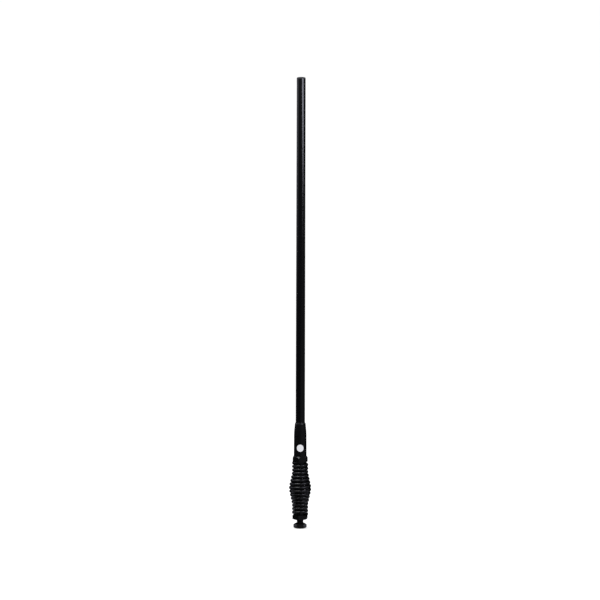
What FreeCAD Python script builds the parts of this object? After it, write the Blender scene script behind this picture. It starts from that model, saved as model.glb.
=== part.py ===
import FreeCAD, Part
import math
import os

import Sketcher

# Collinear whip antenna on a barrel spring, in millimetres.
# +Z runs up the whip. The origin is on the axis, at the seat under the lower collar.
# The front of the antenna, which the photograph shows, faces -Y.

# Driving sizes: name, value and what it is.
SIZES = (
    ("bar_flats", "28.6", "hexagonal bar of both collars, across flats"),
    ("bevel_angle", "56", "slope of the bevels turned on the collars' corners, degrees"),
    ("seat_bevel_angle", "28", "slope of the bevel turned under the lower collar, degrees"),
    ("bevel_rim", "0.3", "flat left between a bevel's inner edge and the bar's flats"),
    ("turning_room", "0.5", "how far a turned outline stands outside the bar's corners"),
    ("fit_gap", "0.05", "radial clearance of parts that fit together"),
    ("edge_break", "0.8", "chamfer on turned ends"),
    ("base_height", "9.2", "lower collar's hexagon, along the axis"),
    ("base_turn", "18", "turn of the lower hexagon about the axis, degrees"),
    ("head_height", "11.6", "upper collar's hexagon, along the axis"),
    ("head_turn", "19.4", "turn of the upper hexagon about the axis, degrees"),
    ("spigot_length", "14.5", "collar spigot that the end coils grip"),
    ("spigot_gap", "0.25", "radial room between a spigot and the end coils"),
    ("passage_dia", "9", "cable passage through both collars"),
    ("wire_dia", "6.9", "spring wire"),
    ("coil_gap", "0.37", "gap between two turns of the spring at rest"),
    ("spring_turns", "15", "turns between the two seats"),
    ("end_turns", "3", "turns of the same width at each end of the spring"),
    ("spring_end_dia", "33.8", "spring's outer diameter at its ends"),
    ("spring_belly_dia", "46.5", "spring's outer diameter at its widest"),
    ("tip_height", "0.08", "height of the wire's middle over its seat at each end, in turns"),
    ("spring_facing", "122", "turn of the whole spring about the axis, degrees"),
    ("belly_rounding", "0.15", "how round the belly's crest is, as a share of its half length"),
    ("stud_dia", "14.4", "mounting stud's thread"),
    ("stud_below", "18.6", "stud's length under the seat"),
    ("stud_above", "6", "stud's length inside the lower collar"),
    ("socket_dia", "10", "threaded mouth of the coaxial socket"),
    ("socket_depth", "7", "depth of the socket's mouth"),
    ("insulator_dia", "8.4", "bore that holds the socket's insulator"),
    ("insulator_length", "7", "socket's insulator"),
    ("contact_dia", "2.4", "centre contact"),
    ("contact_bore", "1.1", "hole in the centre contact for the plug's pin and for the core"),
    ("contact_grip", "4", "depth of each hole in the centre contact"),
    ("contact_length", "9.2", "centre contact"),
    ("crimp_wall", "0.55", "wall of the crimped tube"),
    ("crimp_length", "9", "crimped tube"),
    ("jacket_dia", "5", "cable over its jacket"),
    ("dielectric_dia", "2.95", "cable's inner insulation"),
    ("core_dia", "0.9", "cable's inner conductor"),
    ("strip_length", "2.6", "cable's inner insulation left bare at each end"),
    ("clamp_room", "8.4", "room for the bracket between the seat and the washer"),
    ("washer_dia", "21", "lock washer"),
    ("washer_thick", "1.2", "lock washer"),
    ("washer_teeth", "12", "teeth inside the lock washer"),
    ("notch_width", "1.6", "slot between two teeth of the washer"),
    ("notch_depth", "1.5", "slot between two teeth of the washer"),
    ("nut_flats", "23.8", "mounting nut across flats"),
    ("nut_height", "8", "mounting nut"),
    ("nut_chamfer", "30", "slope of the nut's end chamfers, degrees"),
    ("joint_dia", "13", "threaded stud between the upper collar and the ferrule"),
    ("joint_bore", "6.4", "cable hole through that stud"),
    ("joint_below", "9", "its length in the collar"),
    ("joint_above", "14", "its length in the ferrule"),
    ("seal_dia", "19", "rubber ring's centre line, across"),
    ("seal_thick", "1.6", "rubber ring's own thickness"),
    ("seal_squeeze", "0.9", "share of the ring's thickness that its groove leaves"),
    ("ferrule_foot_dia", "26.3", "ferrule at its foot"),
    ("ferrule_waist_dia", "25.7", "ferrule where its cone starts"),
    ("ferrule_neck_dia", "22.2", "ferrule at the top of its cone"),
    ("ferrule_lip_dia", "19.9", "ferrule's lip, at the radome"),
    ("ferrule_floor", "16", "solid foot of the ferrule under the radome"),
    ("ferrule_body", "48", "ferrule's foot to the start of its cone"),
    ("ferrule_cone", "18.8", "ferrule's cone, along the axis"),
    ("ferrule_lip", "2.4", "ferrule's lip, along the axis"),
    ("waist_blend", "3.5", "how far the ferrule's body and cone are eased into each other"),
    ("radome_dia", "19.2", "radome at the ferrule"),
    ("radome_tip_dia", "18.4", "radome at its tip"),
    ("radome_bore", "14.8", "radome's bore"),
    ("cap_height", "3.5", "end cap's head"),
    ("cap_spigot", "12", "end cap's spigot in the radome"),
    ("cap_rounding", "1.5", "radius of the end cap's rim"),
    ("sleeve_lift", "8", "decoupling sleeve above the ferrule"),
    ("sleeve_length", "146", "decoupling sleeve"),
    ("sleeve_dia", "12.6", "decoupling sleeve"),
    ("sleeve_wall", "0.6", "decoupling sleeve"),
    ("spacer_length", "6", "plastic ring in the sleeve's mouth"),
    ("feed_washer_thick", "2.5", "brass ring in the sleeve's top"),
    ("feed_bush_length", "16", "plastic bush over the feed point"),
    ("feed_bush_dia", "12.6", "plastic bush over the feed point"),
    ("feed_rise", "6", "sleeve's top to the lower radiator"),
    ("rod_dia", "3.2", "both radiators"),
    ("core_grip", "6", "cable's core inside the lower radiator"),
    ("lower_rod_length", "246", "lower radiator"),
    ("upper_rod_length", "250", "upper radiator"),
    ("former_dia", "10", "phasing coil's former"),
    ("former_length", "45", "phasing coil's former"),
    ("former_grip", "6", "each radiator's length inside the former"),
    ("coil_wire", "1.5", "phasing coil's wire"),
    ("coil_turns", "9", "phasing coil"),
    ("coil_lead", "2.2", "phasing coil's leads, clear of the former's ends"),
    ("tip_room", "7.15", "air between the upper radiator and the end cap"),
    ("foam_length", "8", "foam disc"),
    ("foam_gap", "0.1", "radial gap between a foam disc and the radome"),
)

# Sides of the bar that stands for round wire, and straight lengths to a turn.
SPRING_SIDES = 12
SPRING_CHORDS = 20
COIL_SIDES = 6
COIL_CHORDS = 12

# Where the foam discs sit, as shares of the radiator that each one holds.
FOAM_ON_LOWER_ROD = (0.3, 0.7)
FOAM_ON_UPPER_ROD = (0.25, 0.55, 0.9)

# Heights and radii that follow from the driving sizes: name and formula.
PLACES = (
    ("corner_radius", "sizes.bar_flats / 2 / cos(30 deg)"),
    ("turned_radius", "places.corner_radius + sizes.turning_room"),
    ("bevel_radius", "sizes.bar_flats / 2 - sizes.bevel_rim"),
    ("bevel_drop", "(places.turned_radius - places.bevel_radius) * tan(sizes.bevel_angle * 1 deg)"),
    ("seat_bevel_drop", "(places.turned_radius - places.bevel_radius) * tan(sizes.seat_bevel_angle * 1 deg)"),
    ("pitch", "sizes.wire_dia + sizes.coil_gap"),
    ("spring_bottom", "sizes.base_height"),
    ("spring_top", "places.spring_bottom + sizes.spring_turns * places.pitch"),
    ("head_top", "places.spring_top + sizes.head_height"),
    ("coil_inside", "sizes.spring_end_dia / 2 - sizes.wire_dia"),
    ("spigot_radius", "places.coil_inside - sizes.spigot_gap"),
    ("stud_bottom", "-sizes.stud_below"),
    ("insulator_bottom", "places.stud_bottom + sizes.socket_depth"),
    ("insulator_top", "places.insulator_bottom + sizes.insulator_length"),
    ("contact_top", "places.insulator_bottom + sizes.contact_length"),
    ("core_bottom", "places.contact_top - sizes.contact_grip"),
    ("dielectric_bottom", "places.contact_top + sizes.fit_gap"),
    ("jacket_bottom", "places.dielectric_bottom + sizes.strip_length"),
    ("crimp_inside", "sizes.jacket_dia / 2 + sizes.fit_gap"),
    ("crimp_outside", "places.crimp_inside + sizes.crimp_wall"),
    ("stud_bore", "places.crimp_outside + sizes.fit_gap"),
    ("washer_top", "-sizes.clamp_room"),
    ("nut_top", "places.washer_top - sizes.washer_thick"),
    ("nut_bottom", "places.nut_top - sizes.nut_height"),
    ("nut_turned", "sizes.nut_flats / 2 / cos(30 deg) + sizes.turning_room"),
    ("nut_rim", "sizes.nut_flats / 2 - sizes.bevel_rim"),
    ("nut_drop", "(places.nut_turned - places.nut_rim) * tan(sizes.nut_chamfer * 1 deg)"),
    ("joint_bottom", "places.head_top - sizes.joint_below"),
    ("joint_top", "places.head_top + sizes.joint_above"),
    ("seal_half", "sizes.seal_thick / 2"),
    ("groove_depth", "sizes.seal_thick * sizes.seal_squeeze + sizes.fit_gap"),
    ("radome_bottom", "places.head_top + sizes.ferrule_floor"),
    ("waist_height", "places.head_top + sizes.ferrule_body"),
    ("neck_height", "places.waist_height + sizes.ferrule_cone"),
    ("waist_radius", "sizes.ferrule_waist_dia / 2"),
    ("foot_flare", "(sizes.ferrule_foot_dia - sizes.ferrule_waist_dia) / 2"),
    ("neck_fall", "(sizes.ferrule_waist_dia - sizes.ferrule_neck_dia) / 2"),
    ("ferrule_top", "places.neck_height + sizes.ferrule_lip"),
    ("sleeve_bottom", "places.ferrule_top + sizes.sleeve_lift"),
    ("sleeve_top", "places.sleeve_bottom + sizes.sleeve_length"),
    ("sleeve_inside", "sizes.sleeve_dia / 2 - sizes.sleeve_wall"),
    ("lower_rod_bottom", "places.sleeve_top + sizes.feed_rise"),
    ("lower_rod_top", "places.lower_rod_bottom + sizes.lower_rod_length"),
    ("former_bottom", "places.lower_rod_top - sizes.former_grip"),
    ("former_top", "places.former_bottom + sizes.former_length"),
    ("upper_rod_bottom", "places.former_top - sizes.former_grip"),
    ("upper_rod_top", "places.upper_rod_bottom + sizes.upper_rod_length"),
    ("cap_bottom", "places.upper_rod_top + sizes.tip_room"),
    ("radome_top", "places.cap_bottom + sizes.cap_spigot"),
    ("tip", "places.radome_top + sizes.cap_height"),
)


def make_sheet(doc):
    """The spreadsheet of driving sizes."""
    sheet = doc.addObject("Spreadsheet::Sheet", "sizes")
    for row, (name, value, meaning) in enumerate(SIZES, start=1):
        sheet.set(f"A{row}", meaning)
        sheet.set(f"B{row}", value)
        sheet.setAlias(f"B{row}", name)
    doc.recompute()
    return sheet


def make_places(doc):
    """The heights and radii that the formulas above work out from the sheet."""
    places = doc.addObject("App::VarSet", "places")
    for name, formula in PLACES:
        places.addProperty("App::PropertyFloat", name)
        places.setExpression(name, formula)
        doc.recompute()
    return places


def origin_plane(body, role):
    """One of a body's own origin planes."""
    return next(plane for plane in body.Origin.OriginFeatures if plane.Role == role)


def closed_outline(sketch, corners):
    """Draws straight lines through corners, each a pair of formulas for its two coordinates."""
    count = len(corners)
    start = [
        FreeCAD.Vector(math.cos(2 * math.pi * n / count), math.sin(2 * math.pi * n / count), 0)
        for n in range(count)
    ]
    for n in range(count):
        sketch.addGeometry(Part.LineSegment(start[n], start[(n + 1) % count]))
    for n in range(count):
        sketch.addConstraint(Sketcher.Constraint("Coincident", n, 2, (n + 1) % count, 1))
    for n, (across, along) in enumerate(corners):
        for kind, formula, value in (
            ("DistanceX", across, start[n].x),
            ("DistanceY", along, start[n].y),
        ):
            index = sketch.addConstraint(Sketcher.Constraint(kind, -1, 1, n, 1, value))
            sketch.setExpression(f"Constraints[{index}]", formula)


def turned(doc, label, outline):
    """A turned piece: its half section of (radius, height) formulas goes once round the axis."""
    body = doc.addObject("PartDesign::Body", label)
    body.Label = label
    sketch = body.newObject("Sketcher::SketchObject", label + "_section")
    sketch.AttachmentSupport = (origin_plane(body, "XZ_Plane"), "")
    sketch.MapMode = "FlatFace"
    closed_outline(sketch, outline)
    turning = body.newObject("PartDesign::Revolution", label + "_turning")
    turning.Profile = sketch
    turning.ReferenceAxis = (sketch, ["V_Axis"])
    turning.Angle = 360
    return body


def ring(doc, label, inside, outside, bottom, top):
    """A plain turned ring or tube."""
    return turned(doc, label, ((inside, bottom), (outside, bottom), (outside, top), (inside, top)))


def rounded(doc, body, label, height, radius):
    """Rounds a turned body's outermost edge at that height."""
    doc.recompute()
    base = body.Tip
    level = [
        (edge.BoundBox.XMax, f"Edge{n}")
        for n, edge in enumerate(body.Shape.Edges, start=1)
        if edge.Closed and abs(edge.BoundBox.ZMin - height) < 0.001 and edge.BoundBox.ZLength < 0.001
    ]
    rounding = body.newObject("PartDesign::Fillet", label)
    rounding.Base = (base, [max(level)[1]])
    rounding.setExpression("Radius", radius)
    body.Tip = rounding
    return body


def from_hexagonal_bar(doc, label, turning, flats, turn, bottom, top):
    """A piece turned from hexagonal bar: what the turned outline and the bar share."""
    bar = doc.addObject("Part::Prism", label + "_bar")
    bar.Polygon = 6
    bar.setExpression("Circumradius", f"({flats}) / 2 / cos(30 deg)")
    bar.setExpression("Height", f"({top}) - ({bottom})")
    bar.setExpression("Placement.Base.z", bottom)
    bar.setExpression("Placement.Rotation.Angle", f"({turn}) * 1 deg")
    piece = doc.addObject("Part::Common", label)
    piece.Label = label
    piece.Base = bar
    piece.Tool = turning
    return piece


def mitred_bar(path, first_direction, radius, sides):
    """A bar of straight lengths along path, mitred where they meet, closed at both ends.

    Each length is a prism, so every face is flat. The corners of its section lie on the round
    wire's true surface.
    """
    runs = [(b - a).normalize() for a, b in zip(path, path[1:])]
    side = first_direction.cross(FreeCAD.Vector(0, 0, 1)).normalize()
    up = side.cross(runs[0]).normalize()
    side = runs[0].cross(up).normalize()
    section = []
    for n in range(sides):
        angle = 2 * math.pi * n / sides
        section.append(path[0] + side * (radius * math.cos(angle)) + up * (radius * math.sin(angle)))
    rings = [section]
    for n, run in enumerate(runs, start=1):
        after = runs[n] if n < len(runs) else run
        mitre = (run + after).normalize()
        rings.append([p + run * ((path[n] - p).dot(mitre) / run.dot(mitre)) for p in rings[-1]])
    faces = []
    for here, beyond in zip(rings, rings[1:]):
        for n in range(sides):
            m = (n + 1) % sides
            faces.append(Part.Face(Part.makePolygon([here[n], here[m], beyond[m], beyond[n], here[n]])))
    for end in (rings[0], rings[-1]):
        faces.append(Part.Face(Part.makePolygon(end + end[:1])))
    shell = Part.makeShell(faces)
    shell.sewShape()
    solid = Part.makeSolid(Part.Shell(shell.Faces))
    if solid.Volume < 0:
        solid.reverse()
    return solid


def lower_collar(doc):
    """Base collar: the seat below, the spring's shoulder and spigot above, the stud's thread inside."""
    turning = turned(
        doc,
        "lower_collar_turned",
        (
            ("sizes.stud_dia / 2 + sizes.fit_gap", "0"),
            ("places.bevel_radius", "0"),
            ("places.turned_radius", "places.seat_bevel_drop"),
            ("places.turned_radius", "places.spring_bottom"),
            ("places.spigot_radius", "places.spring_bottom"),
            ("places.spigot_radius", "places.spring_bottom + sizes.spigot_length - sizes.edge_break"),
            ("places.spigot_radius - sizes.edge_break", "places.spring_bottom + sizes.spigot_length"),
            ("sizes.passage_dia / 2", "places.spring_bottom + sizes.spigot_length"),
            ("sizes.passage_dia / 2", "sizes.stud_above"),
            ("sizes.stud_dia / 2 + sizes.fit_gap", "sizes.stud_above"),
        ),
    )
    return from_hexagonal_bar(
        doc,
        "lower_collar",
        turning,
        "sizes.bar_flats",
        "sizes.base_turn",
        "0",
        "places.spring_bottom + sizes.spigot_length",
    )


def upper_collar(doc):
    """Top collar: spigot below, bevelled corners above and the thread for the joint stud."""
    turning = turned(
        doc,
        "upper_collar_turned",
        (
            ("sizes.passage_dia / 2", "places.spring_top - sizes.spigot_length"),
            ("places.spigot_radius - sizes.edge_break", "places.spring_top - sizes.spigot_length"),
            ("places.spigot_radius", "places.spring_top - sizes.spigot_length + sizes.edge_break"),
            ("places.spigot_radius", "places.spring_top"),
            ("places.turned_radius", "places.spring_top"),
            ("places.turned_radius", "places.head_top - places.bevel_drop"),
            ("places.bevel_radius", "places.head_top"),
            ("sizes.joint_dia / 2 + sizes.fit_gap", "places.head_top"),
            ("sizes.joint_dia / 2 + sizes.fit_gap", "places.joint_bottom"),
            ("sizes.passage_dia / 2", "places.joint_bottom"),
        ),
    )
    return from_hexagonal_bar(
        doc,
        "upper_collar",
        turning,
        "sizes.bar_flats",
        "sizes.head_turn",
        "places.spring_top - sizes.spigot_length",
        "places.head_top",
    )


def mounting_stud(doc):
    """Hollow stud: the coaxial socket's mouth below, then its insulator's seat and the crimp's bore."""
    return turned(
        doc,
        "mounting_stud",
        (
            ("sizes.socket_dia / 2", "places.stud_bottom"),
            ("sizes.stud_dia / 2 - sizes.edge_break", "places.stud_bottom"),
            ("sizes.stud_dia / 2", "places.stud_bottom + sizes.edge_break"),
            ("sizes.stud_dia / 2", "sizes.stud_above"),
            ("places.stud_bore", "sizes.stud_above"),
            ("places.stud_bore", "places.insulator_top"),
            ("sizes.insulator_dia / 2", "places.insulator_top"),
            ("sizes.insulator_dia / 2", "places.insulator_bottom"),
            ("sizes.socket_dia / 2", "places.insulator_bottom"),
        ),
    )


def mounting_nut(doc):
    """Nut from hexagonal bar, chamfered at both ends."""
    turning = turned(
        doc,
        "mounting_nut_turned",
        (
            ("sizes.stud_dia / 2 + sizes.fit_gap", "places.nut_bottom"),
            ("places.nut_rim", "places.nut_bottom"),
            ("places.nut_turned", "places.nut_bottom + places.nut_drop"),
            ("places.nut_turned", "places.nut_top - places.nut_drop"),
            ("places.nut_rim", "places.nut_top"),
            ("sizes.stud_dia / 2 + sizes.fit_gap", "places.nut_top"),
        ),
    )
    return from_hexagonal_bar(
        doc,
        "mounting_nut",
        turning,
        "sizes.nut_flats",
        "0",
        "places.nut_bottom",
        "places.nut_top",
    )


def lock_washer(doc):
    """Washer with teeth round its hole: one slot is cut and repeated round the axis."""
    hole = "sizes.stud_dia / 2 + 2 * sizes.fit_gap"
    body = ring(doc, "lock_washer", hole, "sizes.washer_dia / 2", "places.nut_top", "places.washer_top")
    sketch = body.newObject("Sketcher::SketchObject", "lock_washer_slot_outline")
    sketch.AttachmentSupport = (origin_plane(body, "XY_Plane"), "")
    sketch.MapMode = "FlatFace"
    closed_outline(
        sketch,
        (
            ("sizes.stud_dia / 4", "-sizes.notch_width / 2"),
            (f"{hole} + sizes.notch_depth", "-sizes.notch_width / 2"),
            (f"{hole} + sizes.notch_depth", "sizes.notch_width / 2"),
            ("sizes.stud_dia / 4", "sizes.notch_width / 2"),
        ),
    )
    slot = body.newObject("PartDesign::Pocket", "lock_washer_slot")
    slot.Profile = sketch
    slot.Type = "ThroughAll"
    slot.Midplane = True
    teeth = body.newObject("PartDesign::PolarPattern", "lock_washer_teeth")
    teeth.Originals = [slot]
    teeth.Axis = (origin_plane(body, "Z_Axis"), [""])
    teeth.Angle = 360
    teeth.setExpression("Occurrences", "sizes.washer_teeth")
    body.Tip = teeth
    return body


def spring_radius(sheet, places, height):
    """Radius of the coil's centre line: level end turns, then a cone to the rounded belly."""
    end = (sheet.spring_end_dia - sheet.wire_dia) / 2
    belly = (sheet.spring_belly_dia - sheet.wire_dia) / 2
    middle = (places.spring_bottom + places.spring_top) / 2
    half_cone = (sheet.spring_turns / 2 - sheet.end_turns) * places.pitch
    out = min(abs(height - middle) / half_cone, 1)
    soft = sheet.belly_rounding
    fall = (math.hypot(out, soft) - soft) / (math.hypot(1, soft) - soft)
    return belly + (end - belly) * fall


def barrel_spring(doc, sheet, places):
    """Right-hand spring. Both ends are ground flat for part of a turn, up to a blunt tip."""
    span = sheet.spring_turns - 2 * sheet.tip_height
    steps = round(span * SPRING_CHORDS)
    path = []
    for n in range(steps + 1):
        turns = sheet.tip_height + span * n / steps
        height = places.spring_bottom + places.pitch * turns
        reach = spring_radius(sheet, places, height)
        angle = 2 * math.pi * (turns + 0.5)
        path.append(FreeCAD.Vector(reach * math.cos(angle), reach * math.sin(angle), height))
    outwards = FreeCAD.Vector(path[0].x, path[0].y, 0).normalize()
    bar = doc.addObject("Part::Feature", "barrel_spring_bar")
    bar.Shape = mitred_bar(path, outwards, sheet.wire_dia / 2, SPRING_SIDES)
    bar.Placement = FreeCAD.Placement()
    bar.setExpression("Placement.Rotation.Angle", "sizes.spring_facing * 1 deg")
    ground = doc.addObject("Part::Cylinder", "barrel_spring_between_seats")
    ground.setExpression("Radius", "sizes.spring_belly_dia")
    ground.setExpression("Height", "places.spring_top - places.spring_bottom")
    ground.setExpression("Placement.Base.z", "places.spring_bottom")
    spring = doc.addObject("Part::Common", "barrel_spring")
    spring.Label = "barrel_spring"
    spring.Base = bar
    spring.Tool = ground
    return spring


def base_pieces(doc):
    """What stays with the vehicle: socket, crimp, stud, collar, nut and washer."""
    axis_hole = "sizes.contact_dia / 2 + sizes.fit_gap"
    insulator = ring(
        doc,
        "socket_insulator",
        axis_hole,
        "sizes.insulator_dia / 2 - sizes.fit_gap",
        "places.insulator_bottom",
        "places.insulator_top",
    )
    contact = turned(
        doc,
        "socket_contact",
        (
            ("sizes.contact_bore / 2", "places.insulator_bottom"),
            ("sizes.contact_dia / 2", "places.insulator_bottom"),
            ("sizes.contact_dia / 2", "places.contact_top"),
            ("sizes.contact_bore / 2", "places.contact_top"),
            ("sizes.contact_bore / 2", "places.contact_top - sizes.contact_grip"),
            ("0", "places.contact_top - sizes.contact_grip"),
            ("0", "places.insulator_bottom + sizes.contact_grip"),
            ("sizes.contact_bore / 2", "places.insulator_bottom + sizes.contact_grip"),
        ),
    )
    crimp = ring(
        doc,
        "cable_crimp",
        "places.crimp_inside",
        "places.crimp_outside",
        "places.jacket_bottom",
        "places.jacket_bottom + sizes.crimp_length",
    )
    return [lower_collar(doc), mounting_stud(doc), insulator, contact, crimp, lock_washer(doc), mounting_nut(doc)]


def feed_cable(doc):
    """Coaxial cable, one piece from the socket to the feed point, bared in steps at both ends."""
    core = "sizes.core_dia / 2"
    dielectric = "sizes.dielectric_dia / 2"
    jacket = "sizes.jacket_dia / 2"
    return turned(
        doc,
        "feed_cable",
        (
            ("0", "places.core_bottom + sizes.fit_gap"),
            (core, "places.core_bottom + sizes.fit_gap"),
            (core, "places.dielectric_bottom"),
            (dielectric, "places.dielectric_bottom"),
            (dielectric, "places.jacket_bottom"),
            (jacket, "places.jacket_bottom"),
            (jacket, "places.sleeve_top"),
            (dielectric, "places.sleeve_top"),
            (dielectric, "places.lower_rod_bottom - sizes.fit_gap"),
            (core, "places.lower_rod_bottom - sizes.fit_gap"),
            (core, "places.lower_rod_bottom + sizes.core_grip - sizes.fit_gap"),
            ("0", "places.lower_rod_bottom + sizes.core_grip - sizes.fit_gap"),
        ),
    )


def whip_ferrule(doc):
    """Ferrule: threaded foot with a groove for the rubber ring, socket for the radome, cone and lip."""
    groove_inside = "sizes.seal_dia / 2 - places.seal_half - sizes.fit_gap"
    groove_outside = "sizes.seal_dia / 2 + places.seal_half + sizes.fit_gap"
    return turned(
        doc,
        "whip_ferrule",
        (
            ("sizes.joint_dia / 2 + sizes.fit_gap", "places.head_top"),
            (groove_inside, "places.head_top"),
            (groove_inside, "places.head_top + places.groove_depth"),
            (groove_outside, "places.head_top + places.groove_depth"),
            (groove_outside, "places.head_top"),
            ("sizes.ferrule_foot_dia / 2", "places.head_top"),
            (
                "places.waist_radius + places.foot_flare * sizes.waist_blend / sizes.ferrule_body",
                "places.waist_height - sizes.waist_blend",
            ),
            (
                "places.waist_radius - places.neck_fall * sizes.waist_blend / sizes.ferrule_cone",
                "places.waist_height + sizes.waist_blend",
            ),
            ("sizes.ferrule_neck_dia / 2", "places.neck_height"),
            ("sizes.ferrule_lip_dia / 2", "places.ferrule_top"),
            ("sizes.radome_dia / 2 + sizes.fit_gap", "places.ferrule_top"),
            ("sizes.radome_dia / 2 + sizes.fit_gap", "places.radome_bottom"),
            ("sizes.joint_dia / 2 + sizes.fit_gap", "places.radome_bottom"),
        ),
    )


def end_cap(doc):
    """Cap: a head as wide as the radome's tip, with a rounded rim, on a spigot in its bore."""
    body = turned(
        doc,
        "end_cap",
        (
            ("0", "places.cap_bottom"),
            ("sizes.radome_bore / 2 - sizes.fit_gap", "places.cap_bottom"),
            ("sizes.radome_bore / 2 - sizes.fit_gap", "places.radome_top"),
            ("sizes.radome_tip_dia / 2", "places.radome_top"),
            ("sizes.radome_tip_dia / 2", "places.tip"),
            ("0", "places.tip"),
        ),
    )
    return rounded(doc, body, "end_cap_rim", doc.places.tip, "sizes.cap_rounding")


def joint_pieces(doc):
    """Between the upper collar and the ferrule: the hollow stud and the rubber ring."""
    stud = ring(
        doc,
        "joint_stud",
        "sizes.joint_bore / 2",
        "sizes.joint_dia / 2",
        "places.joint_bottom",
        "places.joint_top",
    )
    seal = doc.addObject("Part::Torus", "joint_seal")
    seal.Label = "joint_seal"
    seal.setExpression("Radius1", "sizes.seal_dia / 2")
    seal.setExpression("Radius2", "places.groove_depth / 2 - sizes.fit_gap / 2")
    seal.setExpression("Placement.Base.z", "places.head_top + places.groove_depth / 2")
    return [stud, seal]


def phasing_coil(doc, sheet, places):
    """Coil round the former. Its leads run in to the radiators past the former's two ends."""
    wire = sheet.coil_wire / 2
    reach = (sheet.former_dia / 2 + wire + sheet.fit_gap) / math.cos(math.pi / COIL_CHORDS)
    inner = sheet.rod_dia / 2 + sheet.fit_gap
    low = places.former_bottom - sheet.coil_lead
    high = places.former_top + sheet.coil_lead
    steps = round(sheet.coil_turns * COIL_CHORDS)
    path = [FreeCAD.Vector(inner, 0, low)]
    for n in range(steps + 1):
        angle = 2 * math.pi * n / COIL_CHORDS
        height = low + (high - low) * n / steps
        path.append(FreeCAD.Vector(reach * math.cos(angle), reach * math.sin(angle), height))
    end = 2 * math.pi * sheet.coil_turns
    path.append(FreeCAD.Vector(inner * math.cos(end), inner * math.sin(end), high))
    coil = doc.addObject("Part::Feature", "phasing_coil")
    coil.Label = "phasing_coil"
    coil.Shape = mitred_bar(path, FreeCAD.Vector(1, 0, 0), wire, COIL_SIDES)
    coil.Placement = FreeCAD.Placement()
    return coil


def array_pieces(doc):
    """The radiating parts inside the radome, from the sleeve up."""
    sleeve = ring(
        doc,
        "decoupling_sleeve",
        "places.sleeve_inside",
        "sizes.sleeve_dia / 2",
        "places.sleeve_bottom",
        "places.sleeve_top",
    )
    spacer = ring(
        doc,
        "sleeve_spacer",
        "places.crimp_inside",
        "places.sleeve_inside - sizes.fit_gap",
        "places.sleeve_bottom",
        "places.sleeve_bottom + sizes.spacer_length",
    )
    washer = ring(
        doc,
        "feed_washer",
        "places.crimp_inside",
        "places.sleeve_inside - sizes.fit_gap",
        "places.sleeve_top - sizes.feed_washer_thick",
        "places.sleeve_top",
    )
    bush = turned(
        doc,
        "feed_insulator",
        (
            ("sizes.dielectric_dia / 2 + sizes.fit_gap", "places.sleeve_top"),
            ("sizes.feed_bush_dia / 2", "places.sleeve_top"),
            ("sizes.feed_bush_dia / 2", "places.sleeve_top + sizes.feed_bush_length"),
            ("sizes.rod_dia / 2 + sizes.fit_gap", "places.sleeve_top + sizes.feed_bush_length"),
            ("sizes.rod_dia / 2 + sizes.fit_gap", "places.lower_rod_bottom"),
            ("sizes.dielectric_dia / 2 + sizes.fit_gap", "places.lower_rod_bottom"),
        ),
    )
    lower_rod = turned(
        doc,
        "lower_radiator",
        (
            ("sizes.core_dia / 2 + sizes.fit_gap", "places.lower_rod_bottom"),
            ("sizes.rod_dia / 2", "places.lower_rod_bottom"),
            ("sizes.rod_dia / 2", "places.lower_rod_top"),
            ("0", "places.lower_rod_top"),
            ("0", "places.lower_rod_bottom + sizes.core_grip"),
            ("sizes.core_dia / 2 + sizes.fit_gap", "places.lower_rod_bottom + sizes.core_grip"),
        ),
    )
    grip = "sizes.rod_dia / 2 + sizes.fit_gap"
    former = turned(
        doc,
        "coil_former",
        (
            ("0", "places.lower_rod_top"),
            (grip, "places.lower_rod_top"),
            (grip, "places.former_bottom"),
            ("sizes.former_dia / 2", "places.former_bottom"),
            ("sizes.former_dia / 2", "places.former_top"),
            (grip, "places.former_top"),
            (grip, "places.upper_rod_bottom"),
            ("0", "places.upper_rod_bottom"),
        ),
    )
    upper_rod = turned(
        doc,
        "upper_radiator",
        (
            ("0", "places.upper_rod_bottom"),
            ("sizes.rod_dia / 2", "places.upper_rod_bottom"),
            ("sizes.rod_dia / 2", "places.upper_rod_top"),
            ("0", "places.upper_rod_top"),
        ),
    )
    return [sleeve, spacer, washer, bush, lower_rod, former, upper_rod]


def foam_spacers(doc):
    """Foam discs threaded on the radiators, snug in the radome."""
    spots = [(share, "places.lower_rod_bottom", "sizes.lower_rod_length") for share in FOAM_ON_LOWER_ROD]
    spots += [(share, "places.upper_rod_bottom", "sizes.upper_rod_length") for share in FOAM_ON_UPPER_ROD]
    discs = []
    for number, (share, bottom, length) in enumerate(spots, start=1):
        middle = f"{bottom} + {share} * {length}"
        discs.append(
            ring(
                doc,
                f"foam_spacer_{number}",
                "sizes.rod_dia / 2 + sizes.fit_gap",
                "sizes.radome_bore / 2 - sizes.foam_gap",
                f"{middle} - sizes.foam_length / 2",
                f"{middle} + sizes.foam_length / 2",
            )
        )
    return discs


def radome_tube(doc):
    """Fibreglass tube: straight where the ferrule holds it, then tapering to the tip."""
    return turned(
        doc,
        "radome_tube",
        (
            ("sizes.radome_bore / 2", "places.radome_bottom"),
            ("sizes.radome_dia / 2", "places.radome_bottom"),
            ("sizes.radome_dia / 2", "places.ferrule_top"),
            ("sizes.radome_tip_dia / 2", "places.radome_top"),
            ("sizes.radome_bore / 2", "places.radome_top"),
        ),
    )


def check(doc, pieces):
    """Stops before anything is written if an object failed or a shape isn't sound."""
    for item in doc.Objects:
        if "Invalid" in item.State or "Error" in item.State:
            raise RuntimeError(f"{item.Name} failed: {item.State}")
    for piece in pieces:
        shape = piece.Shape
        if shape.isNull() or not shape.isValid() or len(shape.Solids) != 1:
            raise RuntimeError(f"{piece.Label} isn't one sound solid")


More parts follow.
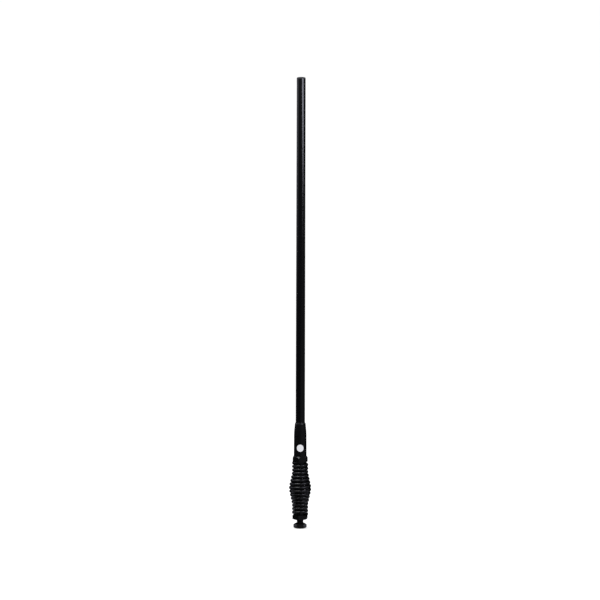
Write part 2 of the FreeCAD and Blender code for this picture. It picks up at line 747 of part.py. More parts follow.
def main():
    doc = FreeCAD.newDocument("collinear_antenna")
    sheet = make_sheet(doc)
    places = make_places(doc)
    pieces = base_pieces(doc)
    pieces.append(barrel_spring(doc, sheet, places))
    pieces.append(feed_cable(doc))
    pieces.append(upper_collar(doc))
    pieces += joint_pieces(doc)
    pieces.append(whip_ferrule(doc))
    pieces.append(radome_tube(doc))
    pieces.append(end_cap(doc))
    pieces += array_pieces(doc)
    pieces.append(phasing_coil(doc, sheet, places))
    pieces += foam_spacers(doc)
    doc.recompute()
    check(doc, pieces)
    os.makedirs("parts", exist_ok=True)
    for piece in pieces:
        piece.Shape.exportStep(f"parts/{piece.Label}.step")
        print(piece.Label, round(piece.Shape.Volume, 1), "mm3")
    print("from", round(places.stud_bottom, 2), "to", round(places.tip, 2), "mm")


main()
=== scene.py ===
# %% [markdown]
# # A whip antenna on a barrel spring
# This lesson dresses a finished construction model. Every solid of the antenna is already in the
# frame, in metres: +Z runs up the whip, the front faces -Y, and the origin is at the seat under the
# lower collar. What is left is what a construction model leaves out: round spring wire that bends,
# a cable that bends with it, a cut thread, and the finish of each surface.
# The box that the frame fills is kept here, to be compared with the dressed antenna at the end.

# %% Load the frame
import math

import bpy
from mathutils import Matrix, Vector


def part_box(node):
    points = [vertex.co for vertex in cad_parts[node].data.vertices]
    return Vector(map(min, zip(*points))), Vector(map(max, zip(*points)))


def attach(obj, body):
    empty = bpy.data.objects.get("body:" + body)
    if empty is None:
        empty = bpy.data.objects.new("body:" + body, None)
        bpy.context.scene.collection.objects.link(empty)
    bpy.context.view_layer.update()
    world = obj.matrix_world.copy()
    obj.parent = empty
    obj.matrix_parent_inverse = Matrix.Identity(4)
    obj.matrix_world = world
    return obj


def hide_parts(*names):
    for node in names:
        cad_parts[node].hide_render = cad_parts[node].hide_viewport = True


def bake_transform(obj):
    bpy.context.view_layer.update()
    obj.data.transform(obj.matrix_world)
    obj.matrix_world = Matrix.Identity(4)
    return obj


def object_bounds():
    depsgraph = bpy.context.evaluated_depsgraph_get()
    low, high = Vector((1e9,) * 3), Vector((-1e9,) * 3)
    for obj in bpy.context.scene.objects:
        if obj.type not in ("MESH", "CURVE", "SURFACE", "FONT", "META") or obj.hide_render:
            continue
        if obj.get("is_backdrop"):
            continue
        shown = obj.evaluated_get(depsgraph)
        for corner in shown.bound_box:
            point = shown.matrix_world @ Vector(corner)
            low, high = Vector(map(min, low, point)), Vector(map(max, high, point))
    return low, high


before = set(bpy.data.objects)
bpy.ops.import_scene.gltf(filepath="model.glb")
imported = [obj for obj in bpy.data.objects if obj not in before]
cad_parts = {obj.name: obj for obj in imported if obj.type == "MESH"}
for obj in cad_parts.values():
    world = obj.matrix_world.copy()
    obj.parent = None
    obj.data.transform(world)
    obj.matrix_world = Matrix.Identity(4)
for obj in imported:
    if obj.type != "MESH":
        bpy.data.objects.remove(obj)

cad_low, cad_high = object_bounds()
MM = 0.001
print("frame box in mm", [round(side / MM, 1) for side in (cad_high - cad_low)])

# %% [markdown]
# ## The camera
# The antenna was photographed standing upright, from about 2.6 m away, with the camera level and a
# little below the middle of the whip. A long lens keeps the thin tube's edges parallel.
# The lens could be typed in by hand, but it is worked out from how many millimetres one pixel
# covers at the antenna, so that the scale of the picture is plain to read. The picture is turned
# by a sixth of a degree, as the real one is.

# %% Camera
picture_pixels = 600
mm_per_pixel = 2.063
seat_row = 519.0
axis_column = 300.6
camera_distance = 2.6
picture_turn = math.radians(-0.154)

picture_width = picture_pixels * mm_per_pixel * MM
middle = picture_pixels / 2
camera_data = bpy.data.cameras.new("studio_camera")
camera_data.sensor_width = 36
camera_data.lens = camera_data.sensor_width * camera_distance / picture_width
camera = bpy.data.objects.new("studio_camera", camera_data)
bpy.context.scene.collection.objects.link(camera)
camera.location = (
    (middle - axis_column) * mm_per_pixel * MM,
    -camera_distance,
    (seat_row - middle) * mm_per_pixel * MM,
)
camera.rotation_euler = (math.pi / 2, picture_turn, 0)
bpy.context.scene.camera = camera
print("lens", round(camera_data.lens, 1), "mm, camera height", round(camera.location.z, 3), "m")

# %% [markdown]
# ## Helpers for modelling
# Three habits keep edit-mode work in a script safe. Everything is deselected before a new shape is
# added, because an operator acts on all that is selected. Open rims are picked by being open, never
# by the numbers of their edges. A finished piece has its place in its mesh and its object at the
# origin, so that patterns stay where they are when it moves.

# %% Selecting and finishing
merge_distance = 0.002 * MM


def deselect_all():
    """Leaves nothing selected, in object mode."""
    if bpy.context.mode != "OBJECT":
        bpy.ops.object.mode_set(mode="OBJECT")
    bpy.ops.object.select_all(action="DESELECT")


def select_rims():
    """Selects the open rims of the piece that is in edit mode."""
    bpy.ops.mesh.select_mode(type="EDGE")
    bpy.ops.mesh.select_all(action="DESELECT")
    bpy.ops.mesh.select_non_manifold(extend=False, use_boundary=True)


def settle(piece, smooth_under=35):
    """Merges doubles, turns the faces outwards and shades smooth where the edge is blunt."""
    bpy.ops.mesh.select_mode(type="VERT")
    bpy.ops.mesh.select_all(action="SELECT")
    bpy.ops.mesh.remove_doubles(threshold=merge_distance)
    bpy.ops.mesh.normals_make_consistent(inside=False)
    bpy.ops.object.mode_set(mode="OBJECT")
    bpy.ops.object.shade_smooth_by_angle(angle=math.radians(smooth_under))
    print(piece.name, len(piece.data.polygons), "faces")
    return piece


def apply_modifier(piece, modifier):
    """Applies one modifier of a piece, in object mode."""
    deselect_all()
    piece.select_set(True)
    bpy.context.view_layer.objects.active = piece
    bpy.ops.object.modifier_apply(modifier=modifier.name)


print("doubles are merged under", merge_distance / MM, "mm")

# %% [markdown]
# ## Round pieces, as on a lathe
# Many parts are turned: a ring is drawn out along the axis and changes width on the way. The Screw
# modifier could do it from a drawn section. Here a ring is extruded and scaled from one station to
# the next, which is how it would be done by hand, and the stations read like a list of the
# diameters that the turner cuts.

# %% Turned pieces


def turned_piece(name, stations, sides=64):
    """A turned wall through (radius, height) stations, in metres, left open and in edit mode."""
    deselect_all()
    radius, height = stations[0]
    bpy.ops.mesh.primitive_circle_add(vertices=sides, radius=radius, location=(0, 0, height))
    piece = bpy.context.object
    piece.name = name
    bpy.ops.object.transform_apply(location=True)
    bpy.ops.object.mode_set(mode="EDIT")
    bpy.ops.mesh.select_mode(type="EDGE")
    bpy.ops.mesh.select_all(action="SELECT")
    for (old_radius, old_height), (radius, height) in zip(stations, stations[1:]):
        rise = {"value": (0, 0, height - old_height)}
        bpy.ops.mesh.extrude_edges_move(TRANSFORM_OT_translate=rise)
        wider = radius / old_radius
        bpy.ops.transform.resize(value=(wider, wider, 1), center_override=(0, 0, height))
    return piece


def solid_bar(name, stations, sides):
    """A turned bar that is solid at both ends."""
    piece = turned_piece(name, stations, sides)
    select_rims()
    bpy.ops.mesh.edge_face_add()
    return settle(piece)


# %% [markdown]
# ## The barrel spring
# The spring is what makes this antenna what it is. Steel wire almost 7 mm thick is wound close over
# a barrel-shaped former, coated black, and its two ends are ground flat where they sit on the
# collars. The construction model has it as straight lengths, which is right for its size but shows
# corners in a highlight.
# A curve with a bevel could follow the wire. The Screw modifier is nearer to the real winding: one
# round section goes round the axis and climbs one pitch a turn. It winds a straight coil, and the
# belly comes after: each ring of the wire is moved out to where the former's barrel has its height,
# so the wire stays round. The coil starts a little above its seat, which leaves the ground end a
# blunt tip and no thin sliver.

# %% Spring sizes from the frame
spring_low, spring_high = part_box("barrel_spring")
wire_radius = 3.45 * MM
spring_turns = 15
end_turns = 3
tip_height = 0.08
end_reach = 13.45 * MM
belly_reach = 19.68 * MM
belly_rounding = 0.15
spring_facing = math.radians(122)
pitch = (spring_high.z - spring_low.z) / spring_turns
spring_middle = (spring_high.z + spring_low.z) / 2
half_cone = (spring_turns / 2 - end_turns) * pitch
print("spring", [round(height / MM, 2) for height in (spring_low.z, spring_high.z)], "mm")
print("pitch", round(pitch / MM, 2), "mm")


def reach_at(height):
    """Radius of the wire's centre line: level end turns, then a cone to the rounded belly."""
    out = min(abs(height - spring_middle) / half_cone, 1)
    fall_here = math.hypot(out, belly_rounding) - belly_rounding
    whole_fall = math.hypot(1, belly_rounding) - belly_rounding
    return belly_reach + (end_reach - belly_reach) * (fall_here / whole_fall)


# %% [markdown]
# The spring is wound in two lengths that meet across the wire behind the antenna, because a piece
# can bend across one joint only. The lower length runs between the vehicle's side and the spring's
# middle, the upper one between the middle and the whip. The heights between which each would bend
# are listed below, and they stop short of where the two meet.

# %% Winding
wire_sides = 28
steps_a_turn = 64
turns_below_split = 8
split_turn = turns_below_split - (spring_facing - math.pi / 2) / math.tau


def screw_up(piece, turns, climb, steps):
    """Winds a section round the axis, so that it climbs the same height at each turn."""
    winding = piece.modifiers.new("winding", "SCREW")
    winding.axis = "Z"
    winding.angle = math.tau * turns
    winding.steps = winding.render_steps = steps
    winding.screw_offset = climb * turns
    winding.use_merge_vertices = False
    apply_modifier(piece, winding)


def wind(name, first_turn, last_turn):
    """A length of the spring between two turns, counted from half a turn below the lower seat."""
    deselect_all()
    start = math.tau * first_turn
    foot = spring_low.z + pitch * (first_turn - 0.5)
    bpy.ops.mesh.primitive_circle_add(
        vertices=wire_sides,
        radius=wire_radius,
        location=(end_reach, 0, foot),
        rotation=(math.pi / 2, 0, 0),
    )
    wire = bpy.context.object
    wire.name = name
    bpy.ops.object.transform_apply(location=True, rotation=True)
    bpy.ops.object.mode_set(mode="EDIT")
    bpy.ops.mesh.select_all(action="SELECT")
    turned = -start - spring_facing
    bpy.ops.transform.rotate(value=turned, orient_axis="Z", center_override=(0, 0, 0))
    bpy.ops.object.mode_set(mode="OBJECT")
    turns = last_turn - first_turn
    screw_up(wire, turns, pitch, round(turns * steps_a_turn))
    return wire


lower_wire = wind("spring_wire_lower", 0.5 + tip_height, split_turn)
upper_wire = wind("spring_wire_upper", split_turn, 0.5 + spring_turns - tip_height)
for wire in (lower_wire, upper_wire):
    print(wire.name, "starts at", [round(side / MM, 1) for side in wire.data.vertices[0].co])

# %% [markdown]
# Now the barrel. The wire's own height tells which turn a point is on: the wire is thinner than the
# pitch, so the nearest turn at that bearing is always the right one.

# %% Swelling the coil into a barrel


def swell(wire):
    """Moves each ring of a wound wire out to the barrel."""
    for point in wire.data.vertices:
        bearing = (math.atan2(point.co.y, point.co.x) - spring_facing) / math.tau
        turn = round((point.co.z - spring_low.z) / pitch + 0.5 - bearing) + bearing
        out = reach_at(spring_low.z + pitch * (turn - 0.5)) - end_reach
        sideways = Vector((point.co.x, point.co.y, 0)).normalized()
        point.co += sideways * out


def close_ends(wire, seat, keeps_above):
    """Grinds the outer end flat on its seat and closes the cut across the wire."""
    deselect_all()
    bpy.context.view_layer.objects.active = wire
    wire.select_set(True)
    bpy.ops.object.mode_set(mode="EDIT")
    select_rims()
    bpy.ops.mesh.fill()
    bpy.ops.mesh.select_all(action="SELECT")
    bpy.ops.mesh.bisect(
        plane_co=(0, 0, seat),
        plane_no=(0, 0, 1),
        use_fill=True,
        clear_inner=keeps_above,
        clear_outer=not keeps_above,
    )
    return settle(wire, smooth_under=40)


for wire, seat in ((lower_wire, spring_low.z), (upper_wire, spring_high.z)):
    swell(wire)
    close_ends(wire, seat, keeps_above=wire is lower_wire)
    heights = [point.co.z for point in wire.data.vertices]
    print(wire.name, [round(height / MM, 2) for height in (min(heights), max(heights))], "mm")

# %% [markdown]
# ## The feed cable
# A thin coaxial cable runs up inside the spring to the radiators. It shows only when the whip leans
# and the coils open on one side, and then it has to bend with them. It is turned as two bars with
# many stations, since a bar without stations couldn't bend, and the lengths follow the frame's box.

# %% Cable
cable_low, cable_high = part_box("feed_cable")
jacket_radius = 2.5 * MM
inner_radius = 1.475 * MM
core_radius = 0.45 * MM
bare_core = 4.0 * MM
bare_inner = 2.6 * MM
feed_core = 6.0 * MM
feed_inner = 6.0 * MM
station_step = 3.0 * MM
cable_sides = 24


def stations_between(low, high, radius):
    """Evenly spaced stations of one radius."""
    count = math.ceil((high - low) / station_step)
    return [(radius, low + (high - low) * n / count) for n in range(count + 1)]


jacket_low = cable_low.z + bare_core + bare_inner
jacket_high = cable_high.z - feed_core - feed_inner
lower_cable = solid_bar(
    "feed_cable_lower",
    [
        (core_radius, cable_low.z),
        (core_radius, cable_low.z + bare_core),
        (inner_radius, cable_low.z + bare_core),
        (inner_radius, jacket_low),
    ]
    + stations_between(jacket_low, spring_middle, jacket_radius),
    sides=cable_sides,
)
upper_cable = solid_bar(
    "feed_cable_upper",
    stations_between(spring_middle, jacket_high, jacket_radius)
    + [
        (inner_radius, jacket_high),
        (inner_radius, jacket_high + feed_inner),
        (core_radius, jacket_high + feed_inner),
        (core_radius, cable_high.z),
    ],
    sides=cable_sides,
)

# %% [markdown]
# ## The threaded stud
# Under the collar a short neck of the mounting stud shows, and it is threaded. The stud is hollow:
# the vehicle's plug screws into its lower end. A thread could be faked with bump, but the neck is
# seen edge on, so the ridge is real. A three-sided section is wound round the stud as the spring's
# wire was, and a union makes ridge and stud one piece.

# %% Stud body
stud_low, stud_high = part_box("mounting_stud")
stud_radius = stud_high.x
thread_pitch = 1.5 * MM
thread_depth = 0.75 * MM
root_radius = stud_radius - thread_depth
end_chamfer = 0.8 * MM
socket_radius = 5.0 * MM
socket_top = stud_low.z + 7.0 * MM
insulator_radius = 4.2 * MM
insulator_top = socket_top + 7.0 * MM
crimp_radius = 3.15 * MM


def hollow_turned_piece(name, stations):
    """A turned piece with a hole: its last ring is joined to its first."""
    return settle(turned_piece(name, stations + stations[:1]))


stud = hollow_turned_piece(
    "threaded_stud",
    [
        (socket_radius, stud_low.z),
        (root_radius - end_chamfer / 2, stud_low.z),
        (root_radius, stud_low.z + end_chamfer / 2),
        (root_radius, stud_high.z),
        (crimp_radius, stud_high.z),
        (crimp_radius, insulator_top),
        (insulator_radius, insulator_top),
        (insulator_radius, socket_top),
        (socket_radius, socket_top),
    ],
)

# %% Thread ridge
ridge_low = stud_low.z + end_chamfer
ridge_high = 2.0 * MM
ridge_turns = round((ridge_high - ridge_low) / thread_pitch)
ridge_root = 0.25 * MM
half_ridge = 0.46 * thread_pitch
thread_steps_a_turn = 48

deselect_all()
bpy.ops.mesh.primitive_circle_add(
    vertices=3,
    radius=thread_pitch / 2,
    location=(root_radius, 0, ridge_low),
    rotation=(math.pi / 2, 0, 0),
)
ridge = bpy.context.object
ridge.name = "thread_ridge"
bpy.ops.object.transform_apply(location=True, rotation=True)
section = sorted(ridge.data.vertices, key=lambda point: point.co.z)
corners = ((-ridge_root, -half_ridge), (thread_depth, 0), (-ridge_root, half_ridge))
for point, (out, up) in zip(section, corners):
    point.co = Vector((root_radius + out, 0, ridge_low + up))
screw_up(ridge, ridge_turns, thread_pitch, ridge_turns * thread_steps_a_turn)
bpy.ops.object.mode_set(mode="EDIT")
select_rims()
bpy.ops.mesh.fill()
settle(ridge)

# %% Thread cut
joining = stud.modifiers.new("ridge", "BOOLEAN")
joining.operation = "UNION"
joining.solver = "EXACT"
joining.object = ridge
apply_modifier(stud, joining)
bpy.data.objects.remove(ridge)
bpy.ops.object.mode_set(mode="EDIT")
settle(stud)

# %% [markdown]
# ## Smooth shading on the frame's pieces
# The frame's meshes are loose triangles, so a turned surface would show its facets. Their points
# stay as they are, and two modifiers do the work: Weld joins the triangles, and Edge Split opens
# them again only along real edges, which is what a smooth-by-angle setting would do.

# %% Smooth frame pieces
weld_distance = 0.001 * MM
real_edge_angle = math.radians(32)


def smooth_frame_piece(node):
    """Shades a frame piece smooth, and keeps its real edges sharp."""
    node.data.polygons.foreach_set("use_smooth", [True] * len(node.data.polygons))
    weld = node.modifiers.new("weld", "WELD")
    weld.merge_threshold = weld_distance
    split = node.modifiers.new("real_edges", "EDGE_SPLIT")
    split.split_angle = real_edge_angle
    split.use_edge_sharp = False


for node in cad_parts.values():
    smooth_frame_piece(node)
print("smoothed", len(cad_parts), "frame pieces")

# %% [markdown]
# ## What moves with what
# The two wire lengths stand for the frame's spring and the two cable lengths for its cable. A table
# gives, for each, the bodies on either side of its joint and the heights between which it would
# bend, over the free turns only, since the end turns grip the collars. The loop fixes each piece
# where it lies and hides the frame's spring and cable, and only the stud is attached to a body.

# %% Bend table
gripped_length = 14.5 * MM
grip_low = spring_low.z + gripped_length
grip_high = spring_high.z - gripped_length
stiff_margin = 0.25 * MM
stiff_half = wire_radius + stiff_margin
bends = (
    (lower_wire, lower_cable, "base", "spring_middle", grip_low, spring_middle - stiff_half),
    (upper_wire, upper_cable, "spring_middle", "whip", spring_middle + stiff_half, grip_high),
)
for wire, cable, lower_body, upper_body, low, high in bends:
    for piece in (wire, cable):
        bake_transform(piece)
    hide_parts("barrel_spring")
    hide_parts("feed_cable")
    print(wire.name, "bends from", round(low / MM, 1), "to", round(high / MM, 1), "mm")
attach(stud, "base")
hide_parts("mounting_stud")

# %% [markdown]
# ## Finishes: shared effects
# Almost everything here is black, so the finishes differ in what light does on them. Three effects
# come back in several finishes, and each is a node group with its own numbers. Lathe lines are
# the fine rings that a tool leaves round the axis. Grain is the orange peel of a coat or the flow
# of moulded plastic. Dust and rub marks lighten a black surface a little, in patches.
# Image textures could carry all three, but noise made in the shader needs no unwrapping and stays
# sharp close up.

# %% Node group helpers


def new_group(name, inputs, outputs):
    """An empty shader node group with float inputs and outputs, and its two end nodes."""
    group = bpy.data.node_groups.new(name, "ShaderNodeTree")
    for socket, value in inputs.items():
        made = group.interface.new_socket(socket, in_out="INPUT", socket_type="NodeSocketFloat")
        made.default_value = value
    for socket in outputs:
        group.interface.new_socket(socket, in_out="OUTPUT", socket_type="NodeSocketFloat")
    entry = group.nodes.new("NodeGroupInput")
    leave = group.nodes.new("NodeGroupOutput")
    return group, entry, leave


def maths(tree, operation, first, second=None, third=None):
    """A Math node fed by sockets or plain numbers. Returns its output."""
    node = tree.nodes.new("ShaderNodeMath")
    node.operation = operation
    for slot, value in enumerate((first, second, third)):
        if value is None:
            continue
        if isinstance(value, bpy.types.NodeSocket):
            tree.links.new(value, node.inputs[slot])
        else:
            node.inputs[slot].default_value = value
    return node.outputs[0]


def diagonal(tree, first, second):
    """The root of the sum of two squares, as for the long side of a right triangle."""
    squares = (maths(tree, "MULTIPLY", first, first), maths(tree, "MULTIPLY", second, second))
    return maths(tree, "SQRT", maths(tree, "ADD", *squares))


def bearing_from_front(tree, x, y):
    """Angle round the axis, 0 at the front and growing to the right."""
    return maths(tree, "ARCTAN2", x, maths(tree, "MULTIPLY", y, -1.0))


def clamped(tree, value):
    """A value kept between 0 and 1."""
    node = tree.nodes.new("ShaderNodeClamp")
    tree.links.new(value, node.inputs[0])
    return node.outputs[0]


def noise(tree, vector, scale, detail=3.0, roughness=0.5):
    """A noise texture on a vector. scale may be a number or a socket."""
    node = tree.nodes.new("ShaderNodeTexNoise")
    tree.links.new(vector, node.inputs["Vector"])
    if isinstance(scale, bpy.types.NodeSocket):
        tree.links.new(scale, node.inputs["Scale"])
    else:
        node.inputs["Scale"].default_value = scale
    node.inputs["Detail"].default_value = detail
    node.inputs["Roughness"].default_value = roughness
    return node.outputs["Fac"]


def place_on_piece(tree):
    """Object coordinates, in metres, as a vector socket and its three numbers."""
    where = tree.nodes.new("ShaderNodeTexCoord").outputs["Object"]
    parts = tree.nodes.new("ShaderNodeSeparateXYZ")
    tree.links.new(where, parts.inputs[0])
    return where, parts.outputs


print("positions are read from Object coordinates")

# %% [markdown]
# A lathe's tool cuts rings on a turned side and on a faced end alike, so the rings follow the
# height and, less closely, the distance from the axis. A noise that changes only along that path
# gives them uneven depths.

# %% Lathe lines
rings_across_a_face = 0.35
lathe_patch_scale = 220.0
faintest_ring = 0.6
patch_deepens = 0.5


def make_lathe_lines():
    """Height of fine rings round the axis. They differ in depth, and fade a little in patches."""
    group, entry, leave = new_group("lathe_lines", {"Rings per mm": 6.0}, ("Height", "Mask"))
    where, (x, y, z) = place_on_piece(group)
    faced = maths(group, "MULTIPLY", diagonal(group, x, y), rings_across_a_face)
    along_in_mm = maths(group, "MULTIPLY", maths(group, "ADD", z, faced), 1 / MM)
    ring_place = group.nodes.new("ShaderNodeCombineXYZ")
    turns = maths(group, "MULTIPLY", along_in_mm, entry.outputs[0])
    group.links.new(turns, ring_place.inputs[2])
    rings = noise(group, ring_place.outputs[0], 1.0, detail=2.0)
    patches = noise(group, where, lathe_patch_scale, detail=2.0)
    depth = maths(group, "MULTIPLY_ADD", patches, patch_deepens, faintest_ring)
    group.links.new(maths(group, "MULTIPLY", rings, depth), leave.inputs[0])
    group.links.new(patches, leave.inputs[1])
    return group


lathe_lines = make_lathe_lines()
print("group:", lathe_lines.name)

# %% Coat grain
patch_to_hill = 0.08


def make_grain():
    """Orange peel: soft hills of a given size in mm, with finer ones on them."""
    group, entry, leave = new_group("coat_grain", {"Hill size in mm": 0.8}, ("Height", "Mask"))
    where, _ = place_on_piece(group)
    scale = maths(group, "DIVIDE", 1 / MM, entry.outputs[0])
    hills = noise(group, where, scale, detail=3.0, roughness=0.45)
    patches = noise(group, where, maths(group, "MULTIPLY", scale, patch_to_hill), detail=3.0)
    group.links.new(hills, leave.inputs[0])
    group.links.new(patches, leave.inputs[1])
    return group


coat_grain = make_grain()
print("group:", coat_grain.name)

# %% Dust and rub marks
dust_patch_scale = 45.0
dust_speck_scale = 900.0
patch_threshold, patch_contrast = 0.5, 4.0
speck_threshold, speck_contrast = 0.62, 9.0


def above(tree, value, threshold, contrast):
    """How far a value stands above a threshold, times a contrast, and 0 below it."""
    over = maths(tree, "MULTIPLY", maths(tree, "SUBTRACT", value, threshold), contrast)
    return maths(tree, "MAXIMUM", over, 0.0)


def make_dust():
    """Mask of dust and faint rub marks: specks where a fine noise peaks inside soft patches."""
    group, entry, leave = new_group("dust_and_rub", {"Amount": 0.3}, ("Mask",))
    where, _ = place_on_piece(group)
    patches = noise(group, where, dust_patch_scale, detail=4.0, roughness=0.6)
    specks = noise(group, where, dust_speck_scale, detail=2.0)
    spread = above(group, patches, patch_threshold, patch_contrast)
    peaks = above(group, specks, speck_threshold, speck_contrast)
    both = maths(group, "MULTIPLY", spread, peaks)
    dusty = clamped(group, maths(group, "MULTIPLY", both, entry.outputs[0]))
    group.links.new(dusty, leave.inputs[0])
    return group


dust_and_rub = make_dust()
print("group:", dust_and_rub.name)

# %% [markdown]
# One function puts a finish together: a colour that dust lightens, a roughness that wanders, and
# a height that the bump reads. What is the same all over a piece, such as whether it is metal, is
# set on the shader itself.

# %% One way to build a finish
dust_lightens = 0.16
dust_roughens = 0.3


def blend_colours(tree, mask, first, second):
    """A colour that goes from first to second where the mask is white."""
    node = tree.nodes.new("ShaderNodeMix")
    node.data_type = "RGBA"
    tree.links.new(mask, node.inputs["Factor"])
    for socket, value in ((node.inputs[6], first), (node.inputs[7], second)):
        if isinstance(value, bpy.types.NodeSocket):
            tree.links.new(value, socket)
        else:
            socket.default_value = (*value, 1)
    return node.outputs[2]


def add_group(tree, group, **values):
    """A node group in a material, with its inputs set by name. Returns its outputs by name."""
    node = tree.nodes.new("ShaderNodeGroup")
    node.node_tree = group
    for name, value in values.items():
        node.inputs[name.replace("_", " ")].default_value = value
    return node.outputs


def make_finish(
    name, colour, roughness, surface, size, bump, *, wander=0.08, dust=0.25, metallic=0.0
):
    """A finish of lathe lines or coat grain. size is the group's own number, bump is in mm."""
    material = bpy.data.materials.new(name)
    material.use_nodes = True
    tree = material.node_tree
    shader = tree.nodes["Principled BSDF"]
    shader.inputs["Metallic"].default_value = metallic
    if surface is lathe_lines:
        effect = add_group(tree, lathe_lines, Rings_per_mm=size)
    else:
        effect = add_group(tree, coat_grain, Hill_size_in_mm=size)
    dusty = add_group(tree, dust_and_rub, Amount=dust)["Mask"]
    lighter = tuple(min(1.0, channel + dust_lightens) for channel in colour)
    tree.links.new(blend_colours(tree, dusty, colour, lighter), shader.inputs["Base Color"])
    wandering = maths(tree, "MULTIPLY_ADD", effect["Mask"], 2 * wander, roughness - wander)
    duller = maths(tree, "MULTIPLY", dusty, dust_roughens)
    tree.links.new(maths(tree, "ADD", wandering, duller), shader.inputs["Roughness"])
    relief = tree.nodes.new("ShaderNodeBump")
    relief.inputs["Strength"].default_value = 1.0
    relief.inputs["Distance"].default_value = bump * MM
    tree.links.new(effect["Height"], relief.inputs["Height"])
    tree.links.new(relief.outputs["Normal"], shader.inputs["Normal"])
    return material


def dress(material, *pieces):
    """Gives pieces this one material."""
    for piece in pieces:
        piece.data.materials.clear()
        piece.data.materials.append(material)


print("dust lightens a colour by up to", dust_lightens)

# %% [markdown]
# ## The black outside
# The radome is a fibreglass tube in gloss black, smooth as paint, and its cap is moulded in a matt
# plastic that is a shade lighter. The ferrule is satin, and shows how it was turned. Both collars
# are plated over the bar's bright flats, and the spring's thick coat has an orange peel that breaks
# up the highlight on each turn. The nut and the stud are plated more thinly and have been handled.

# %% Black finishes
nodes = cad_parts
painted_black = (0.0015, 0.0015, 0.0018)
coated_black = (0.002, 0.002, 0.0022)
worn_black = (0.004, 0.004, 0.004)
moulded_grey = (0.035, 0.035, 0.038)
gloss_black = make_finish(
    "gloss_black_radome", painted_black, 0.18, coat_grain, 4.0, 0.003, wander=0.03, dust=0.03
)
moulded_black = make_finish(
    "moulded_black_cap", moulded_grey, 0.55, coat_grain, 0.6, 0.01, wander=0.06, dust=0.1
)
spring_coat = make_finish(
    "spring_coat", coated_black, 0.24, coat_grain, 1.1, 0.02, wander=0.06, dust=0.08
)
plated_black = make_finish(
    "plated_black_collar", coated_black, 0.22, lathe_lines, 5.0, 0.003, wander=0.06, dust=0.08
)
handled_black = make_finish(
    "handled_black_nut", worn_black, 0.34, coat_grain, 0.5, 0.012, wander=0.1, dust=0.15
)
dress(gloss_black, nodes["radome_tube"])
dress(moulded_black, nodes["end_cap"])
dress(spring_coat, lower_wire, upper_wire, nodes["barrel_spring"])
dress(plated_black, nodes["lower_collar"], nodes["upper_collar"])
dress(handled_black, nodes["mounting_nut"], nodes["lock_washer"], stud, nodes["mounting_stud"])
print("black finishes: radome, cap, spring, collars, nut and stud")

# %% [markdown]
# ## The ferrule and its printed mark
# On the front of the ferrule is a plain white printed disc. It could be a thin mesh, but ink has no
# thickness to speak of, so a mask in the ferrule's material does it: the distance from the disc's
# middle is measured along the curved surface, and the edge is soft over a tenth of a millimetre.

# %% Ferrule
disc_height = 147.5 * MM
disc_radius = 7.4 * MM
edge_softness = 0.12 * MM
ink_white = (0.78, 0.78, 0.8)
ink_speck_scale = 1500.0
ink_thins_by = 0.12
ferrule_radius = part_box("whip_ferrule")[1].x
satin_black = make_finish(
    "satin_black_ferrule", coated_black, 0.27, lathe_lines, 4.0, 0.004, wander=0.05, dust=0.06
)


def print_disc(material):
    """Prints the white disc on the front of a satin finish."""
    tree = material.node_tree
    shader = tree.nodes["Principled BSDF"]
    where, (x, y, z) = place_on_piece(tree)
    across = maths(tree, "MULTIPLY", bearing_from_front(tree, x, y), ferrule_radius)
    away = diagonal(tree, across, maths(tree, "SUBTRACT", z, disc_height))
    inside = maths(tree, "DIVIDE", maths(tree, "SUBTRACT", disc_radius, away), edge_softness)
    specks = noise(tree, where, ink_speck_scale)
    cover = maths(tree, "MULTIPLY_ADD", specks, -ink_thins_by, 1.0)
    mask = maths(tree, "MULTIPLY", clamped(tree, inside), cover)
    under = shader.inputs["Base Color"].links[0].from_socket
    tree.links.new(blend_colours(tree, mask, under, ink_white), shader.inputs["Base Color"])


print_disc(satin_black)
dress(satin_black, nodes["whip_ferrule"])
print("disc", round(2 * disc_radius / MM, 1), "mm across, at", round(disc_height / MM, 1), "mm")

# %% [markdown]
# ## Inside and underneath
# The pieces inside the radome are finished too: they are seen when the antenna is taken apart.
# Brass and steel keep their lathe lines, copper and nickel a drawn tube's faint grain, the
# insulators are turned white plastic, and the cable's jacket and the foam have their own grain.

# %% Inner finishes
metal = {"dust": 0.1, "metallic": 1.0}
inner_finishes = (
    (
        make_finish("turned_brass", (0.72, 0.5, 0.2), 0.28, lathe_lines, 6.0, 0.004, **metal),
        ("socket_contact", "feed_washer", "lower_radiator", "upper_radiator"),
    ),
    (
        make_finish("bright_copper", (0.75, 0.36, 0.2), 0.3, coat_grain, 1.5, 0.004, **metal),
        ("decoupling_sleeve", "phasing_coil"),
    ),
    (
        make_finish("nickel_plate", (0.66, 0.63, 0.58), 0.25, coat_grain, 0.8, 0.004, **metal),
        ("cable_crimp",),
    ),
    (
        make_finish("turned_steel", (0.5, 0.5, 0.51), 0.32, lathe_lines, 5.0, 0.005, **metal),
        ("joint_stud",),
    ),
    (
        make_finish("white_plastic", (0.8, 0.8, 0.77), 0.42, lathe_lines, 4.0, 0.006, dust=0.1),
        ("socket_insulator", "sleeve_spacer", "feed_insulator"),
    ),
    (
        make_finish("natural_nylon", (0.68, 0.64, 0.5), 0.45, lathe_lines, 3.0, 0.008, dust=0.1),
        ("coil_former",),
    ),
    (
        make_finish("ring_rubber", (0.012, 0.012, 0.012), 0.6, coat_grain, 0.2, 0.006, dust=0.3),
        ("joint_seal",),
    ),
    (
        make_finish("grey_foam", (0.2, 0.2, 0.21), 0.9, coat_grain, 0.35, 0.12, dust=0.0),
        [name for name in nodes if name.startswith("foam_spacer")],
    ),
)
for material, names in inner_finishes:
    dress(material, *(nodes[name] for name in names))
    print(material.name, "on", len(names), "pieces")
cable_jacket = make_finish(
    "cable_jacket", (0.014, 0.014, 0.015), 0.42, coat_grain, 0.7, 0.01, dust=0.2
)
